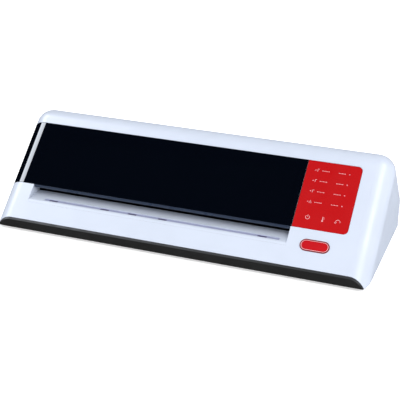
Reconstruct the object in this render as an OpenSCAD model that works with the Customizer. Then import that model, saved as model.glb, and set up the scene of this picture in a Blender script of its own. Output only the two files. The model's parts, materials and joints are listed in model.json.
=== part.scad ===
// Wide-format pouch laminator: a low wedge-shaped desktop machine that feeds a pouch in at the front,
// past heated rollers and pull rollers, and out at the rear. Millimetres, +Z up, -Y is the front,
// +X runs along the machine. The origin is under the middle of the machine, on the table.

/* [Casing] */
// Overall width along X
case_w = 513.5; // [511:0.5:515]
// Y of the front face of the dark chin
front_y = -106; // [-107:0.5:-105.5]
// Y of the rear face
rear_y = 106; // [105.5:0.5:107]
// Slope of the front face, degrees from level
front_slope = 40.3; // [39.8:0.1:40.8]
// Radius on every outer edge of the casing
edge_r = 23.5; // [23:0.5:24.5]
// Wall thickness of the moulded shells
wall = 2.5; // [2.2:0.1:2.8]
// Height of the rubber feet under the base
foot_h = 4; // [3.5:0.5:4]
// Height of the dark chin's front face
chin_h = 11.3; // [11:0.1:11.5]

/* [Fascia] */
// Length of the fascia up the slope
fascia_len = 95; // [90:1:96]
// Thickness of the fascia and the control overlay
fascia_t = 3; // [2.5:0.1:3]
// X where the black fascia ends and the control overlay starts
overlay_x0 = 148; // [147.5:0.5:149]
// X where the control overlay ends
overlay_x1 = 219; // [216:0.5:220]

/* [Feed] */
// Left side of the feed recess
recess_x0 = -217; // [-218:0.5:-216]
// Right side of the feed recess
recess_x1 = 147; // [146:0.5:147]
// Height of the feed table above the ground
table_z = 37; // [36.5:0.1:37]
// Height of the pouch path above the ground
nip_z = 40; // [39.8:0.1:40.2]
// Widest pouch that the machine takes
pouch_w = 332; // [328:1:334]

/* [Rollers] */
// Y of the heated rollers
hot_y = -8; // [-9:0.5:-7]
// Distance along Y from the heated rollers to the pull rollers
roller_pitch_y = 56; // [55:0.25:57]
// Length of a roller's silicone sleeve
roller_len = 340; // [338:1:341]
// Radius of a roller's journals
journal_r = 5; // [4.5:0.1:5]
// Gap between the two sleeves of a pair
nip_gap = 0.3; // [0.3:0.05:0.4]
// Lift of the sprung upper rollers for a thick pouch
nip_lift = 1; // [0.8:0.1:1.2]

// Face width of the gears
gear_w = 7; // [6:0.5:8]

/* [Hidden] */

$fn = 48;
hull_fn = 32;
slack = 0.3;
tiny = 0.05;
big = 700;

// The sloping front face passes through the lower edge of the fascia
front_run = 43;
fascia_y = front_y + front_run;
fascia_z = foot_h + chin_h + front_run * tan(front_slope);
slope_c = cos(front_slope);
slope_s = sin(front_slope);

// Centres of the casing's edge rounding, as [y, z]
rear_slope = 50;
low_z = -12;
front_cx = case_w / 2 - edge_r;
ridge_s = fascia_len + 7.5;
ridge_c = [fascia_y + ridge_s * slope_c + edge_r * slope_s,
    fascia_z + ridge_s * slope_s - edge_r * slope_c];
low_s = (low_z - fascia_z + edge_r * slope_c) / slope_s;
low_c = [fascia_y + low_s * slope_c + edge_r * slope_s, low_z];
rear_c = [rear_y - edge_r, ridge_c[1] - (rear_y - edge_r - ridge_c[0]) * tan(rear_slope)];
case_h = ridge_c[1] + edge_r;

// The chin: the base's front plate stands before the cover's cut edge
chin_t = 2.3;
cover_front = front_y + chin_t + slack;

// The visor hangs under the fascia and ends above the feed table
visor_drop = 5;
visor_z = fascia_z - visor_drop;
table_back = fascia_y + 14;
table_t = 2.5;

// Gears: the module and the tooth counts set the rollers' radii too
gear_m = 1.25;
hot_teeth = 24;
pull_teeth = 20;
idler_teeth = 24;
pinion_teeth = 12;

// Roller positions, as [y, z]
hot_r = gear_m * hot_teeth / 2;
pull_r = gear_m * pull_teeth / 2;
idler_r = gear_m * idler_teeth / 2;
pinion_r = gear_m * pinion_teeth / 2;
hot_sleeve_r = hot_r - nip_gap / 2;
pull_sleeve_r = pull_r - nip_gap / 2;
sleeve_t = 2.5;
hot_low = [hot_y, nip_z - hot_r];
hot_up = [hot_y, nip_z + hot_r];
pull_low = [hot_y + roller_pitch_y, nip_z - pull_r];
pull_up = [hot_y + roller_pitch_y, nip_z + pull_r];
roller_cx = -29.5;
roller_x0 = roller_cx - roller_len / 2;
roller_x1 = roller_cx + roller_len / 2;

// The idler touches both lower gears and sits on the upper side of the line that joins them
span = norm(pull_low - hot_low);
to_hot = hot_r + idler_r;
to_pull = pull_r + idler_r;
along = (span * span + to_hot * to_hot - to_pull * to_pull) / (2 * span);
rise = sqrt(to_hot * to_hot - along * along);
span_a = atan2(pull_low[1] - hot_low[1], pull_low[0] - hot_low[0]);
idler_c = hot_low + along * [cos(span_a), sin(span_a)] + rise * [-sin(span_a), cos(span_a)];
pinion_c = idler_c + [0, idler_r + pinion_r];

// Side frames, the gears outside the right frame, and the motor bracket outside the gears
frame_t = 2;
frame_lx = roller_x0 - 10 - frame_t;
frame_rx = roller_x1 + 9;
gear_x = frame_rx + frame_t + 3.5;
bracket_x = gear_x + gear_w + 3;
bush_r = 8;
bush_fit = 0.04;
up_bush_r = bush_r - slack;
bush_in = 6;
spring_r = 3.2;
wire_r = 0.6;
spring_turns = 5;
spring_h = 13;

// Tooth phases that put every pair in mesh at rest
function dir(a, b) = atan2(b[1] - a[1], b[0] - a[0]);
function mesh(a, b, phase, na, nb) =
    dir(a, b) + 180 - 360 / nb * (0.5 - (dir(a, b) - phase) * na / 360);
ph_hot_low = 90;
ph_hot_up = mesh(hot_low, hot_up, ph_hot_low, hot_teeth, hot_teeth);
ph_idler = mesh(hot_low, idler_c, ph_hot_low, hot_teeth, idler_teeth);
ph_pull_low = mesh(idler_c, pull_low, ph_idler, idler_teeth, pull_teeth);
ph_pull_up = mesh(pull_low, pull_up, ph_pull_low, pull_teeth, pull_teeth);
ph_pinion = mesh(idler_c, pinion_c, ph_idler, idler_teeth, pinion_teeth);

// Skin behind the fascia: its back lies this deep under the front face
skin = fascia_t + slack + 2;
// How far the fascia reaches down round the casing's left end
fascia_wrap = 22;
overlay_round = 6;
table_front = fascia_y - (fascia_z - table_z) / tan(front_slope);
groove_y = table_front + 3;
groove_w = 7;
groove_d = 1.2;
slot_l = 12;
slot_w = 2;
slot_in = 2.5;
slot_d = 1.8;
groove_slots = [for (k = [0.04, 0.27, 0.39, 0.52, 0.93]) roller_cx + (k - 0.5) * pouch_w];

// Base
air_n = 24;
air_pitch = 12;
air_w = 5;
floor_t = 2.5;
floor_z = foot_h + floor_t;
foot_x = 212;
foot_y = [-64, 80];
base_screw_at = [for (x = [-232, -50, 229]) for (y = [-54, 66]) [x, y]];

// Frame, as [y, z] on the side plates
bar_at = [[-32, 13], [68, 60], [84, 14]];
spacer_at = [[idler_c[0], 74], [pull_low[0], 74], [66, 15]];
spring_x = [frame_lx + frame_t + 4, frame_rx - 4];
spring_steps = 12;
wire_sides = 6;
exit_guide_y = pull_low[0] + 14.5;
exit_y0 = rear_y - 10;
post_r = 4;
shaft_r = 3;
motor_x = bracket_x + 2;
motor_ear = 27;
shoe_r = hot_r + 1.3;
shoe_t = 1.2;
shoe_rim = 3;
shoe_bar = 5;
film_t = 0.5;
film_r = shoe_r + shoe_t + tiny;
shield_t = 0.8;
fuse_r = 2;

// Rear fittings
exit_h = 9;
exit_rim = 4.5;
inlet_x = 201;
inlet_w = 28;
inlet_h = 22;
rocker_x = 161;
rocker_w = 19;
rocker_h = 13;
rear_fit_z = 30;
rocker_pin_r = 1.5;
rocker_tilt = 9;
vent_n = 12;
vent_pitch = 24;
vent_w = 16;
vent_l = 3;

// Controls on the overlay, x and distance up the slope
light_x = [overlay_x0 + 15.5, overlay_x0 + 56.2];
light_s0 = 37;
light_step = 15;
light_rows = 4;
light_r = 1;
key_x = [overlay_x0 + 17, overlay_x0 + 36.3, overlay_x0 + 55.8];
key_s = 15.5;
badge_x = 183;
badge_s = -21.8;
badge_w = 38;
badge_h = 16;
badge_t = 0.8;
badge_sunk = 0.4;
board_x0 = overlay_x0 + 5.5;
board_w = 62;
board_s0 = 6;
board_l = 82;
board_t = 1.6;
board_depth = 8.5;

white = "#e4e9f2";
dark = "#2a2b2d";
steel = "#b4b8bc";
red = "#c4161e";

// ---------- helpers ----------

// Extrudes a (y, z) outline along X
module along_x(x0, len) {
    translate([x0, 0, 0])
        rotate([90, 0, 90])
            linear_extrude(len)
                children();
}

// A round bar along X
module rod(x0, len, c, r) {
    translate([x0, c[0], c[1]])
        rotate([0, 90, 0])
            cylinder(h = len, r = r);
}

// A tube along X
module tube(x0, len, c, ro, ri) {
    difference() {
        rod(x0, len, c, ro);
        rod(x0 - 1, len + 2, c, ri);
    }
}

// A box between two corners
module box(a, b) {
    translate(a)
        cube(b - a);
}

// Puts children on the sloping front face: x along X, y up the slope, z outwards
module on_front(x, s, out) {
    translate([0, fascia_y, fascia_z])
        rotate([front_slope, 0, 0])
            translate([x, s, out])
                children();
}

// The casing's outer form, moved in by inset
module form(inset) {
    hull()
        for (c = [low_c, ridge_c, rear_c, [rear_c[0], low_z]])
            for (side = [-1, 1])
                translate([side * front_cx, c[0], c[1]])
                    sphere(r = edge_r - inset, $fn = hull_fn);
}

// A rounded rectangle plate in XY, centred
module plate(w, h, r, t) {
    linear_extrude(t)
        union() {
            square([w - 2 * r, h], center = true);
            square([w, h - 2 * r], center = true);
            for (x = [-1, 1])
                for (y = [-1, 1])
                    translate([x * (w / 2 - r), y * (h / 2 - r)])
                        circle(r = r);
        }
}

// A spur gear outline with straight-sided teeth and running backlash
module gear_outline(n, phase) {
    rp = gear_m * n / 2;
    root = rp - 1.25 * gear_m;
    tip = rp + 0.95 * gear_m;
    p = 360 / n;
    polygon([for (i = [0 : n - 1])
        for (k = [[root, -0.34], [rp, -0.225], [tip, -0.1], [tip, 0.1], [rp, 0.225], [root, 0.34]])
            let (a = phase + p * (i + k[1]))
                [k[0] * cos(a), k[0] * sin(a)]]);
}

// A gear on the X axis with a hub and a bore
module gear(c, n, phase, bore) {
    difference() {
        union() {
            along_x(gear_x, gear_w)
                translate(c)
                    gear_outline(n, phase);
            rod(gear_x, gear_w + 1.5, c, bore + 2.5);
        }
        rod(gear_x - 1, gear_w + 4, c, bore);
    }
}

// A steel roller core: tube body and two journals
module roller_core(c, r) {
    rod(roller_x0, roller_len, c, r);
    rod(frame_lx - 3, gear_x + gear_w - frame_lx + 3, c, journal_r);
}

// A silicone sleeve
module roller_sleeve(c, r) {
    tube(roller_x0 + 1, roller_len - 2, c, r, r - sleeve_t);
}

// A cross-head screw head with its shank, head upwards, at the origin
module screw(r, len) {
    difference() {
        cylinder(h = 1.8, r = 2 * r);
        for (a = [0, 90])
            rotate([0, 0, a])
                translate([-1.3 * r, -0.25, 1])
                    cube([2.6 * r, 0.5, 1]);
    }
    translate([0, 0, -len])
        cylinder(h = len + 0.5, r = r);
}

// ---------- casing ----------

// The mouth of the feed recess, as a (y, z) outline that also clears the visor
module recess_outline() {
    polygon([[front_y - 20, table_z], [table_back, table_z], [table_back, visor_z - slack],
        [fascia_y + skin * slope_s, fascia_z - skin * slope_c], [fascia_y, fascia_z],
        [fascia_y - 20, fascia_z + 20], [front_y - 20, fascia_z + 20]]);
}

// The stretch of the casing that the fascia and the overlay cover, grown by gap
module fascia_region(gap) {
    r = overlay_round + gap;
    x1 = overlay_x1 + gap;
    on_front(0, -gap, -fascia_wrap - gap)
        linear_extrude(2 * fascia_wrap)
            union() {
                translate([-case_w, 0])
                    square([case_w + x1 - r, fascia_len + 2 * gap]);
                translate([-case_w, r])
                    square([case_w + x1, fascia_len + 2 * gap - 2 * r]);
                for (s = [r, fascia_len + 2 * gap - r])
                    translate([x1 - r, s])
                        circle(r = r);
            }
}

// Side wall of the recess
module recess_side(x) {
    along_x(x, wall)
        polygon([[table_front - table_t / tan(front_slope), table_z - table_t],
            [table_back, table_z - table_t], [table_back, visor_z], [fascia_y + skin * slope_s, visor_z],
            [fascia_y, fascia_z]]);
}

// Cuts for the rear fittings, grown by gap
module rear_cuts(gap) {
    box([roller_x0 - gap, exit_y0, nip_z - exit_h - gap],
        [roller_x1 + gap, rear_y + 20, nip_z + exit_h + gap]);
    box([inlet_x - inlet_w / 2 - gap, rear_y - 20, rear_fit_z - inlet_h / 2 - gap],
        [inlet_x + inlet_w / 2 + gap, rear_y + 20, rear_fit_z + inlet_h / 2 + gap]);
    box([rocker_x - rocker_w / 2 - gap, rear_y - 20, rear_fit_z - rocker_h / 2 - gap],
        [rocker_x + rocker_w / 2 + gap, rear_y + 20, rear_fit_z + rocker_h / 2 + gap]);
}

module top_cover() color(white) {
    difference() {
        form(0);
        difference() {
            form(wall);
            fascia_region(2);
        }
        form(skin);
        difference() {
            fascia_region(slack);
            form(fascia_t + slack);
        }
        box([-big, -big, -big], [big, big, foot_h]);
        box([-big, -big, -big], [big, cover_front, fascia_z]);
        along_x(recess_x0, recess_x1 - recess_x0)
            union() {
                recess_outline();
                translate([front_y, table_z - table_t - tiny])
                    square([table_back - front_y + 1, visor_z - table_z]);
            }
        rear_cuts(slack);
        // Window behind the control overlay
        on_front(board_x0 + 2, board_s0 + 2, -20)
            cube([board_w - 4, board_l - 4, 40]);
        // Cooling slots in the rear slope
        for (i = [0 : vent_n - 1])
            translate([roller_cx + (i - (vent_n - 1) / 2) * vent_pitch, ridge_c[0] + 34, case_h - 50])
                rotate([-rear_slope, 0, 0])
                    translate([-vent_w / 2, 0, 0])
                        cube([vent_w, vent_l, 60]);
    }
    recess_side(recess_x0 - wall);
    recess_side(recess_x1);
}

module fascia_panel() color("#08090c") {
    difference() {
        intersection() {
            form(0);
            on_front(-case_w, 0, -fascia_wrap)
                cube([case_w + overlay_x0 - slack / 2, fascia_len, 2 * fascia_wrap]);
        }
        form(fascia_t);
    }
}

module visor_strip() color("#2b3340") {
    along_x(recess_x0 + slack, recess_x1 - recess_x0 - 2 * slack)
        polygon([[fascia_y, visor_z], [fascia_y, fascia_z - slack],
            [fascia_y + skin * slope_s, fascia_z - skin * slope_c - slack],
            [fascia_y + skin * slope_s, visor_z]]);
}

module control_overlay() color(red) {
    r = overlay_round;
    difference() {
        on_front(0, 0, -fascia_t)
            linear_extrude(fascia_t)
                union() {
                    translate([overlay_x0 + slack / 2, 0])
                        square([overlay_x1 - r - overlay_x0 - slack / 2, fascia_len]);
                    translate([overlay_x1 - r, r])
                        square([r, fascia_len - 2 * r]);
                    for (s = [r, fascia_len - r])
                        translate([overlay_x1 - r, s])
                            circle(r = r);
                }
        lights(light_r + tiny, fascia_t + 1);
    }
}

// The two columns of status lights, as pins of radius r that reach len behind the surface
module lights(r, len) {
    for (x = light_x)
        for (i = [0 : light_rows - 1])
            on_front(x, light_s0 + i * light_step, -len)
                cylinder(h = len, r = r);
}

module status_lights() color("#ffd9dc") {
    lights(light_r, fascia_t);
}

module touch_keys() color("#d8dade") {
    for (x = key_x)
        on_front(x, key_s, -board_depth)
            cylinder(h = board_depth - fascia_t - tiny, r = 5);
}

module badge() color("#b3121c") {
    on_front(badge_x, badge_s, -badge_sunk)
        plate(badge_w, badge_h, badge_h / 2 - tiny, badge_sunk + badge_t);
}

module feed_table() color(white) {
    difference() {
        along_x(recess_x0 + tiny, recess_x1 - recess_x0 - 2 * tiny)
            polygon([[table_front - table_t / tan(front_slope), table_z - table_t], [table_front, table_z],
                [table_back, table_z], [table_back, table_z - table_t]]);
        box([roller_cx - pouch_w / 2, groove_y, table_z - groove_d],
            [roller_cx + pouch_w / 2, groove_y + groove_w, table_z + 1]);
        // Deeper slots along the groove
        for (x = groove_slots)
            box([x - slot_l / 2, groove_y + slot_in, table_z - slot_d],
                [x + slot_l / 2, groove_y + slot_in + slot_w, table_z + 1]);
    }
}

module guide(outline) {
    along_x(frame_lx + frame_t + slack, frame_rx - frame_lx - frame_t - 2 * slack)
        polygon(outline);
}

module entry_guide_lower() color("#1c1d1f") {
    guide([[table_back + slack, table_z - 3], [table_back + slack, table_z], [-32, table_z + 0.4],
        [-20, table_z + 0.4], [-20, table_z - 1], [-32, table_z - 1.8]]);
}

module entry_guide_upper() color("#1c1d1f") {
    guide([[table_back + slack, visor_z + 2], [table_back + slack, visor_z], [-32, nip_z + 3],
        [-20, nip_z + 2.6], [-20, nip_z + 4], [-32, nip_z + 5]]);
}

module transfer_guide_lower() color("#1c1d1f") {
    guide([[hot_y + 16, nip_z - 7], [hot_y + 17, nip_z - 2.8], [pull_low[0] - 15, nip_z - 2.8],
        [pull_low[0] - 14, nip_z - 7]]);
}

module transfer_guide_upper() color("#1c1d1f") {
    guide([[hot_y + 16, nip_z + 7], [hot_y + 17, nip_z + 2.8], [pull_low[0] - 15, nip_z + 2.8],
        [pull_low[0] - 14, nip_z + 7]]);
}

module exit_guide_lower() color("#1c1d1f") {
    guide([[exit_guide_y, nip_z - 4.5], [exit_guide_y, nip_z - 2.8], [exit_y0 - slack, nip_z - 2.8],
        [exit_y0 - slack, nip_z - 5.5]]);
}

module exit_guide_upper() color("#1c1d1f") {
    guide([[exit_guide_y, nip_z + 4.5], [exit_guide_y, nip_z + 2.8], [exit_y0 - slack, nip_z + 3.4],
        [exit_y0 - slack, nip_z + 5.5]]);
}

module exit_frame() color(dark) {
    difference() {
        box([roller_x0, exit_y0, nip_z - exit_h],
            [roller_x1, rear_y, nip_z + exit_h]);
        box([roller_x0 + 3, exit_y0 - 1, nip_z - exit_h + exit_rim],
            [roller_x1 - 3, rear_y + 2, nip_z + exit_h - exit_rim]);
        // Flared mouth
        along_x(roller_x0 + 3, roller_len - 6)
            polygon([[rear_y - 4, nip_z - exit_h + exit_rim], [rear_y + 2, nip_z - exit_h + 1.5],
                [rear_y + 2, nip_z + exit_h - 1.5], [rear_y - 4, nip_z + exit_h - exit_rim]]);
    }
}

// The part of the casing's form between two heights and behind a front plane
module form_slice(inset, y0, z0, z1) {
    intersection() {
        form(inset);
        box([-big, y0, z0], [big, big, z1]);
    }
}

module base_pan() color(dark) {
    tray = wall + 0.5;
    rim = foot_h + chin_h;
    difference() {
        union() {
            form_slice(tray, front_y + 1, foot_h, rim);
            intersection() {
                form(0);
                box([-big, front_y, foot_h], [big, front_y + chin_t, fascia_z]);
            }
        }
        form_slice(tray + wall, front_y + chin_t, foot_h + floor_t, rim + 1);
        // Air slots under the heated rollers
        for (i = [-air_n / 2 : air_n / 2])
            translate([roller_cx + i * air_pitch - air_w / 2, hot_y - 14, foot_h - 1])
                cube([air_w, 28, floor_t + 2]);
        for (p = base_screw_at)
            translate([p[0], p[1], foot_h - 1])
                cylinder(h = floor_t + 2, r = 1.9);
    }
}

module rubber_feet() color("#17181a") {
    for (x = [-foot_x, foot_x])
        for (y = foot_y)
            translate([x, y, 0])
                cylinder(h = foot_h, r1 = 7.5, r2 = 9);
}

module base_screws() color(steel) {
    for (p = base_screw_at)
        translate([p[0], p[1], foot_h - tiny])
            mirror([0, 0, 1])
                screw(1.8, 6);
}

// ---------- frame ----------

module bush_slot(x, c) {
    rod(x - 1, frame_t + 2, c, bush_r);
    rod(x - 1, frame_t + 2, c + [0, nip_lift], bush_r);
    box([x - 1, c[0] - bush_r, c[1]], [x + frame_t + 1, c[0] + bush_r, c[1] + nip_lift]);
}

module side_frame(x) {
    difference() {
        along_x(x, frame_t)
            polygon([[-38, floor_z], [92, floor_z], [92, 42], [80, 58], [64, 72], [54, 82],
                [10, 84], [-16, 75], [-38, 56]]);
        for (c = [hot_low, pull_low])
            rod(x - 1, frame_t + 2, c, bush_r + bush_fit);
        for (c = [hot_up, pull_up])
            bush_slot(x, c);
        // The pouch path runs between the frames, and this slot lightens the plate
        along_x(x - 1, frame_t + 2)
            translate([74, nip_z + 4])
                circle(r = 5);
    }
}

module frame_left() color(steel) {
    side_frame(frame_lx);
}

module frame_right() color(steel) {
    side_frame(frame_rx);
}

module cross_bars() color("#c3c6ca") {
    for (c = bar_at)
        rod(frame_lx + frame_t, frame_rx - frame_lx - frame_t, c, 4);
}

// Screws into the cross bars through both frames
module frame_screws() color("#8f9296") {
    for (c = bar_at) {
        translate([frame_lx, c[0], c[1]])
            rotate([0, -90, 0])
                screw_head(3);
        translate([frame_rx + frame_t, c[0], c[1]])
            rotate([0, 90, 0])
                screw_head(3);
    }
}

module screw_head(r) {
    difference() {
        cylinder(h = 2, r = r);
        for (a = [0, 90])
            rotate([0, 0, a])
                translate([-0.6 * r, -0.25, 1])
                    cube([1.2 * r, 0.5, 2]);
    }
}

// A bush in each frame on the axis c, with outer radius r
module bush_pair(c, r) {
    tube(frame_lx - 2, frame_t + 2 + bush_in, c, r, journal_r + bush_fit);
    tube(frame_rx - bush_in, frame_t + 2 + bush_in, c, r, journal_r + bush_fit);
}

// The same, with a peg on top that centres the pressure spring
module sprung_bush_pair(c) {
    difference() {
        union() {
            bush_pair(c, up_bush_r);
            for (x = spring_x)
                translate([x, c[0], c[1] + up_bush_r - 1.5])
                    cylinder(h = 4, r = spring_r - wire_r - slack);
        }
        rod(frame_lx - 20, frame_rx - frame_lx + 40, c, journal_r + bush_fit);
    }
}

module lower_bushes() color("#c9a24a") {
    bush_pair(hot_low, bush_r);
    bush_pair(pull_low, bush_r);
}

module hot_upper_bushes() color("#c9a24a") {
    sprung_bush_pair(hot_up);
}

module pull_upper_bushes() color("#c9a24a") {
    sprung_bush_pair(pull_up);
}

// One point on a spring's wire: turn is along the helix, k goes round the wire
function wire_point(turn, k) =
    let (a = 360 * turn, b = 360 * k / wire_sides, q = spring_r + wire_r * cos(b))
        [q * cos(a), q * sin(a), spring_h * turn / spring_turns + wire_r * sin(b)];

module spring() {
    n = spring_turns * spring_steps;
    m = wire_sides;
    polyhedron(points = [for (i = [0 : n]) for (k = [0 : m - 1]) wire_point(i / spring_steps, k)],
        faces = concat([[for (k = [0 : m - 1]) k]],
            [for (i = [0 : n - 1]) for (k = [0 : m - 1])
                [i * m + k, (i + 1) * m + k, (i + 1) * m + (k + 1) % m, i * m + (k + 1) % m]],
            [[for (k = [m - 1 : -1 : 0]) n * m + k]]),
        convexity = 8);
}

module spring_pair(c) {
    for (x = spring_x)
        translate([x, c[0], c[1] + up_bush_r + wire_r + tiny])
            spring();
}

module hot_springs() color("#9a9da1") {
    spring_pair(hot_up);
}

module pull_springs() color("#9a9da1") {
    spring_pair(pull_up);
}

module spring_seats() color(steel) {
    for (c = [hot_up, pull_up]) {
        z = c[1] + up_bush_r + spring_h + 2 * wire_r + 2 * tiny;
        box([frame_lx + frame_t, c[0] - 5, z], [frame_lx + frame_t + 8, c[0] + 5, z + 1.5]);
        box([frame_rx - 8, c[0] - 5, z], [frame_rx, c[0] + 5, z + 1.5]);
    }
}

// ---------- rollers and drive ----------

module hot_lower_core() color(steel) {
    roller_core(hot_low, hot_sleeve_r - sleeve_t);
}

module hot_lower_sleeve() color("#b5502f") {
    roller_sleeve(hot_low, hot_sleeve_r);
}

module hot_lower_gear() color("#e6e2d6") {
    gear(hot_low, hot_teeth, ph_hot_low, journal_r);
}

module hot_upper_core() color(steel) {
    roller_core(hot_up, hot_sleeve_r - sleeve_t);
}

module hot_upper_sleeve() color("#b5502f") {
    roller_sleeve(hot_up, hot_sleeve_r);
}

module hot_upper_gear() color("#e6e2d6") {
    gear(hot_up, hot_teeth, ph_hot_up, journal_r);
}

module pull_lower_core() color(steel) {
    roller_core(pull_low, pull_sleeve_r - sleeve_t);
}

module pull_lower_sleeve() color("#3a3b3e") {
    roller_sleeve(pull_low, pull_sleeve_r);
}

module pull_lower_gear() color("#e6e2d6") {
    gear(pull_low, pull_teeth, ph_pull_low, journal_r);
}

module pull_upper_core() color(steel) {
    roller_core(pull_up, pull_sleeve_r - sleeve_t);
}

module pull_upper_sleeve() color("#3a3b3e") {
    roller_sleeve(pull_up, pull_sleeve_r);
}

module pull_upper_gear() color("#e6e2d6") {
    gear(pull_up, pull_teeth, ph_pull_up, journal_r);
}

module idler_gear() color("#e6e2d6") {
    gear(idler_c, idler_teeth, ph_idler, post_r + bush_fit);
}

module idler_post() color(steel) {
    rod(frame_rx + frame_t, gear_x + gear_w + 2 - frame_rx - frame_t, idler_c, post_r);
    rod(frame_rx + frame_t, 2.5, idler_c, post_r + 3);
}

module drive_pinion() color("#c9a24a") {
    along_x(gear_x, gear_w)
        translate(pinion_c)
            gear_outline(pinion_teeth, ph_pinion);
    rod(gear_x, motor_x + 8 - gear_x, pinion_c, shaft_r);
}

module drive_motor() color("#8a8d92") {
    difference() {
        union() {
            rod(motor_x, 14, pinion_c, 22);
            rod(motor_x + 14, 32, pinion_c, 18);
            for (y = [-1, 1])
                hull()
                    for (k = [0, 1])
                        rod(motor_x, 3, pinion_c + [y * k * motor_ear, 0], 5);
        }
        rod(motor_x - 1, 11, pinion_c, shaft_r + bush_fit);
        for (y = [-1, 1])
            rod(motor_x - 1, 5, pinion_c + [y * motor_ear, 0], 1.8);
    }
}

module motor_bracket() color(steel) {
    difference() {
        union() {
            along_x(bracket_x, 2)
                polygon([[2, floor_z], [72, floor_z], [72, 30], [60, 82],
                    [2, 82], [-12, 62], [-12, 46]]);
            box([bracket_x, 2, floor_z], [bracket_x + 12, 34, floor_z + 2]);
            for (c = spacer_at)
                rod(frame_rx + frame_t, bracket_x - frame_rx - frame_t, c, 3);
        }
        rod(bracket_x - 1, 4, pinion_c, shaft_r + 3);
        for (y = [-1, 1])
            rod(bracket_x - 1, 4, pinion_c + [y * motor_ear, 0], 1.6);
    }
}

module motor_screws() color("#8f9296") {
    for (y = [-1, 1])
        translate([motor_x + 3, pinion_c[0] + y * motor_ear, pinion_c[1]])
            rotate([0, 90, 0])
                union() {
                    screw_head(3);
                    translate([0, 0, -5])
                        cylinder(h = 5.2, r = 1.5);
                }
}

// ---------- heating ----------

// A saddle from the height rim past the roller's axis; up is 1 above the roller and -1 below it
module saddle(c, ro, ri, up, rim) {
    x0 = roller_x0 + 3;
    reach = 30;
    intersection() {
        tube(x0, roller_len - 6, c, ro, ri);
        translate([x0 - 1, c[0] - reach, up > 0 ? c[1] + rim : c[1] - rim - reach])
            cube([roller_len, 2 * reach, reach]);
    }
}

module heat_shoe(c, up) {
    saddle(c, shoe_r + shoe_t, shoe_r, up, shoe_rim);
    for (side = [-1, 1]) {
        y = c[0] + side * (shoe_r + shoe_t / 2) - shoe_t / 2;
        translate([frame_lx + frame_t, y, up > 0 ? c[1] + shoe_rim : c[1] - shoe_rim - shoe_bar])
            cube([frame_rx - frame_lx - frame_t, shoe_t, shoe_bar]);
    }
}

module upper_heat_shoe() color("#c8ccd0") {
    heat_shoe(hot_up, 1);
}

module lower_heat_shoe() color("#c8ccd0") {
    heat_shoe(hot_low, -1);
}

// A heater film on the back of a shoe, clear of the shoe's side bars
module heater_film(c, up) {
    saddle(c, film_r + film_t, film_r, up, shoe_rim + shoe_bar + slack);
}

module upper_heater_film() color("#b98a3c") {
    heater_film(hot_up, 1);
}

module lower_heater_film() color("#b98a3c") {
    heater_film(hot_low, -1);
}

// A bent sheet over the upper shoe
module heat_shield() color("#c4c7cb") {
    t = shield_t;
    guide([[hot_y - 21, 62], [hot_y - 21, 73], [hot_y - 13, 80], [hot_y + 19, 80], [hot_y + 19, 62],
        [hot_y + 19 - t, 62], [hot_y + 19 - t, 80 - t], [hot_y - 13 + t / 2, 80 - t],
        [hot_y - 21 + t, 73 - t / 2], [hot_y - 21 + t, 62]]);
}

module thermostat() color("#d9d4c4") {
    z = hot_up[1] + film_r + film_t + tiny;
    translate([roller_cx, hot_y, z])
        cylinder(h = 4, r = 7);
    box([roller_cx - 12, hot_y - 3, z], [roller_cx + 12, hot_y + 3, z + 0.8]);
}

module thermal_fuse() color("#c9b27a") {
    c = [hot_y, hot_up[1] + film_r + film_t + fuse_r];
    rod(roller_cx + 40, 12, c, fuse_r);
    rod(roller_cx + 28, 36, c, 0.5);
}

// ---------- electrics ----------

module control_board() color("#2c6b3f") {
    difference() {
        on_front(board_x0, board_s0, -board_depth - board_t)
            cube([board_w, board_l, board_t]);
        for (x = [board_x0 + 4, board_x0 + board_w - 4])
            for (s = [board_s0 + 4, board_s0 + board_l - 4])
                on_front(x, s, -board_depth - board_t - 1)
                    cylinder(h = board_t + 2, r = 1.6);
    }
    // Processor, driver and connector on the back of the board
    on_front(board_x0 + 12, board_s0 + 36, -board_depth - board_t - 1.5)
        cube([14, 14, 1.6]);
    on_front(board_x0 + 36, board_s0 + 40, -board_depth - board_t - 1.8)
        cube([10, 6, 1.9]);
    on_front(board_x0 + 16, board_s0 + 8, -board_depth - board_t - 6)
        cube([28, 6, 6.1]);
}

module board_screws() color("#8f9296") {
    for (x = [board_x0 + 4, board_x0 + board_w - 4])
        for (s = [board_s0 + 4, board_s0 + board_l - 4])
            on_front(x, s, -board_depth - board_t - 2)
                cylinder(h = 2, r = 2.8);
}

module power_board() color("#2c6b3f") {
    z = floor_z + 6;
    box([176, 38, z], [238, 80, z + board_t]);
    // Transformer, relay, capacitor and terminal block
    box([182, 46, z + board_t], [208, 70, z + board_t + 20]);
    box([214, 44, z + board_t], [230, 56, z + board_t + 14]);
    translate([220, 68, z + board_t])
        cylinder(h = 18, r = 6);
    box([182, 73, z + board_t], [200, 79, z + board_t + 5]);
    // Stand-offs on the floor
    for (x = [181, 233])
        for (y = [42, 76])
            translate([x, y, floor_z])
                cylinder(h = 6, r = 2.5);
}

// Mains inlet socket in the rear wall: three blades in a recess
module power_inlet() color("#1b1c1e") {
    difference() {
        box([inlet_x - inlet_w / 2, rear_y - 18, rear_fit_z - inlet_h / 2],
            [inlet_x + inlet_w / 2, rear_y, rear_fit_z + inlet_h / 2]);
        box([inlet_x - inlet_w / 2 + 2, rear_y - 14, rear_fit_z - inlet_h / 2 + 2],
            [inlet_x + inlet_w / 2 - 2, rear_y + 1, rear_fit_z + inlet_h / 2 - 2]);
    }
    for (p = [[-7, -2.5], [0, 2.5], [7, -2.5]])
        box([inlet_x + p[0] - 1, rear_y - 15, rear_fit_z + p[1] - 2],
            [inlet_x + p[0] + 1, rear_y - 2, rear_fit_z + p[1] + 2]);
}

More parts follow.
